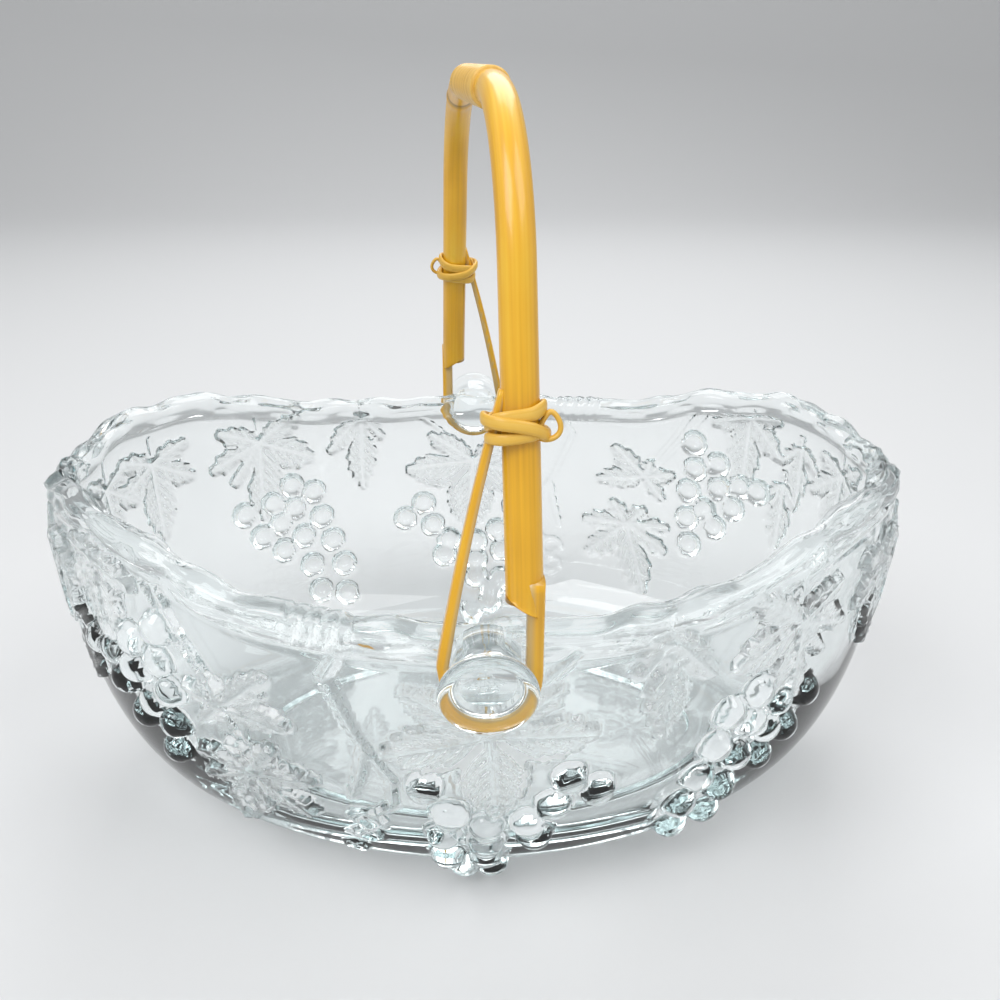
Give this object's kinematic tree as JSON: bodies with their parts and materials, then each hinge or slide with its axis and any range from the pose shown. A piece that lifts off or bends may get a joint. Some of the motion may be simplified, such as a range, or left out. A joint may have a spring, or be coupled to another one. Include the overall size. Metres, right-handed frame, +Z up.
{
  "type": "glass basket with bamboo handle",
  "caption": "Oval pressed-glass basket with vine relief and glass side knobs that carry an upright bent bamboo handle, for serving fruit or bread.",
  "frame": {"origin": "on the ground under the middle of the bowl", "axes": "+Z up; +X along the bowl's long axis; the handle turns about a line along Y through both knobs"},
  "size_m": [0.2852, 0.2352, 0.2311],
  "materials": {
    "pressed_glass": "clear polished glass with a faint cool tint",
    "bamboo": "glossy golden bamboo skin, pale where it is cut",
    "cane": "satin split cane",
    "wound_cane": "satin fine cane, closely wound"
  },
  "bodies": {
    "bowl": {"glass_bowl": "pressed_glass"},
    "handle": {"bamboo_handle": "bamboo", "front_tie": "cane", "rear_tie": "cane", "grip_wrap": "wound_cane"}
  },
  "joints": [
    {"name": "handle_swing", "type": "hinge", "parent": "bowl", "child": "handle", "pos_m": [0, 0, 0.0925], "axis": [0, 1, 0], "range_deg": [-70, 70]}
  ]
}
